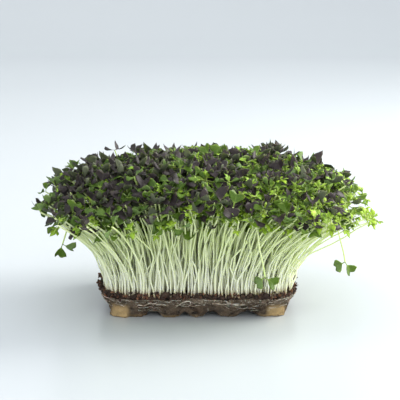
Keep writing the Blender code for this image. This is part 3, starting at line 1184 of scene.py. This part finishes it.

# %% [markdown]
# ## Sprouts that hang out
# A few sprouts have fallen out of the edge and hang by their stems below the leaves. They are made by
# the same two trees, with their paths listed.

# %% Hanging sprouts
HANG_POINTS = 14
HANGING = {
    "right": (
        [(77, -3, 58), (79, -4, 55), (82, -5, 47), (84, -7, 38), (86, -8, 31), (87, -9, 25)],
        (60, 150),
    ),
    "left": ([(-74, -5, 57), (-76, -6, 50), (-78, -8, 42), (-80, -9, 36)], (110, 30)),
    "front": ([(33, -54, 56), (34, -58, 46), (36, -60, 38), (37, -61.5, 31)], (40, 140)),
}
for side, (points, ways) in HANGING.items():
    points = np.array(points, float)
    old = np.linspace(0, 1, len(points))
    new = np.linspace(0, 1, HANG_POINTS)
    smooth = np.stack([np.interp(new, old, points[:, i]) for i in range(3)], axis=-1)
    smooth[1:-1] = (smooth[:-2] + smooth[1:-1] * 2 + smooth[2:]) / 4
    curve = (smooth * MM)[None]
    stem = tubes(
        "hanging_stem_" + side, curve, np.linspace(0.6, 0.42, HANG_POINTS)[None] * MM, STEM_SIDES,
        stem_skin, along=np.linspace(0.5, 0.9, HANG_POINTS)[None], tint=np.full((1, HANG_POINTS), 0.7),
    )
    keep("hanging_stem_" + side, stem, "pale_stem")
    downwards = np.radians(ways)
    grown = scattered(
        "hanging_leaves_" + side, np.repeat(curve[:, -1], 2, axis=0),
        shape=np.array([HEARTS[0], HEARTS[3]]),
        turn=np.stack([np.array([1.0, -1.1]), downwards, np.array([0.1, -0.2])], axis=-1),
        size=np.array([[9.0, 8.0, 9.0], [8.2, 7.6, 8.2]]) * MM,
        skin=np.array([GREEN, GREEN]), tint=np.array([0.6, 0.4]),
        shapes=leaf_shapes, skins=skins,
    )
    keep("hanging_leaves_" + side, grown, "green_leaf", "hanging_sprout_" + side)
print("hanging sprouts:", len(HANGING))

# %% [markdown]
# ## Table, light and camera
# The block stands on a pale glossy table. It is one sheet that bends up far behind the block and
# becomes the background, so no edge shows between the two.


# %% The table and its background
def stage_finish():
    made, shader, start = new_finish("pale_table", Specular_IOR_Level=0.30)
    place = place_of(start)
    fleck = cloud(place, 0.4, 1.0)
    colour = fleck.between((0.500, 0.535, 0.560), (0.512, 0.547, 0.572))
    # The sheet is painted lighter as it rises behind the block. This is painted light, which makes the
    # background brighter towards the top.
    colour = height_of(place).part(0.0, 0.5).between(colour, (0.86, 0.87, 0.88))
    feed(shader, Base_Color=colour, Roughness=0.22 + fleck * 0.06)
    return made


bend = [(y, 0.0) for y in (-2.4, -1.2, 0.0, 1.2)]
bend += [(1.2 + math.sin(a), 1.0 - math.cos(a)) for a in np.linspace(0.1, math.pi / 2, 14)]
bend.append((2.2, 3.0))
floor_points = [(x, y, z) for y, z in bend for x in (-3.0, 3.0)]
floor_faces = [(2 * i, 2 * i + 1, 2 * i + 3, 2 * i + 2) for i in range(len(bend) - 1)]
floor_mesh = bpy.data.meshes.new("table")
floor_mesh.from_pydata(floor_points, [], floor_faces)
floor_mesh.materials.append(stage_finish())
floor_mesh.shade_smooth()
table = bpy.data.objects.new("table", floor_mesh)
bpy.context.scene.collection.objects.link(table)
print("table faces:", len(floor_mesh.polygons))

# %% [markdown]
# The light is soft. A bright sky all round does most of it. A large lamp on the right, a little
# behind the block, lights the stems from the side, and two weak ones fill from above and in front.


# %% Light
def lamp(name, place, aim, width, power, colour):
    light = bpy.data.lights.new(name, "AREA")
    light.shape = "DISK"
    light.size = width
    light.energy = power
    light.color = colour
    made = bpy.data.objects.new(name, light)
    made.location = place
    made.rotation_euler = (Vector(aim) - Vector(place)).to_track_quat("-Z", "Y").to_euler()
    bpy.context.scene.collection.objects.link(made)


world = bpy.data.worlds.new("studio")
world.use_nodes = True
world.node_tree.nodes["Background"].inputs["Color"].default_value = (0.95, 0.975, 1.0, 1.0)
world.node_tree.nodes["Background"].inputs["Strength"].default_value = 1.22
bpy.context.scene.world = world
bpy.context.scene.view_settings.view_transform = "Standard"
lamp("window", (0.80, 0.30, 0.50), (0.02, 0.0, 0.05), 0.7, 15.0, (1.0, 0.98, 0.92))
lamp("ceiling", (-0.1, 0.1, 1.2), (0.0, 0.0, 0.0), 1.0, 3.0, (0.97, 0.98, 1.0))
lamp("reflector", (0.35, -1.1, 0.22), (0.0, 0.0, 0.03), 0.8, 3.0, (1.0, 1.0, 0.98))
print("lamps:", len(bpy.data.lights))

# %% [markdown]
# The camera stands straight in front and looks a little down. A long lens from three quarters of a
# metre keeps the block's sides nearly parallel.

# %% Camera
CAMERA_AIM = Vector((1.1, -42.0, 70.3)) * MM
CAMERA_AWAY = 0.75
CAMERA_LENS = 120.5
CAMERA_RISE = math.radians(13)
camera = bpy.data.cameras.new("camera")
camera.lens = CAMERA_LENS
camera_object = bpy.data.objects.new("camera", camera)
back = Vector((0.0, -math.cos(CAMERA_RISE), math.sin(CAMERA_RISE)))
camera_object.location = CAMERA_AIM + back * CAMERA_AWAY
camera_object.rotation_euler = (-back).to_track_quat("-Z", "Y").to_euler()
bpy.context.scene.collection.objects.link(camera_object)
bpy.context.scene.camera = camera_object
print("camera height, mm:", round(camera_object.location.z / MM))

# %% [markdown]
# ## Finish
# The leaves and crumbs were only models for their copies, so they go.

# %% Remove the model shapes
for library in (leaf_shapes, crumb_shapes):
    for shape in list(library.objects):
        bpy.data.objects.remove(shape)
    bpy.data.collections.remove(library)
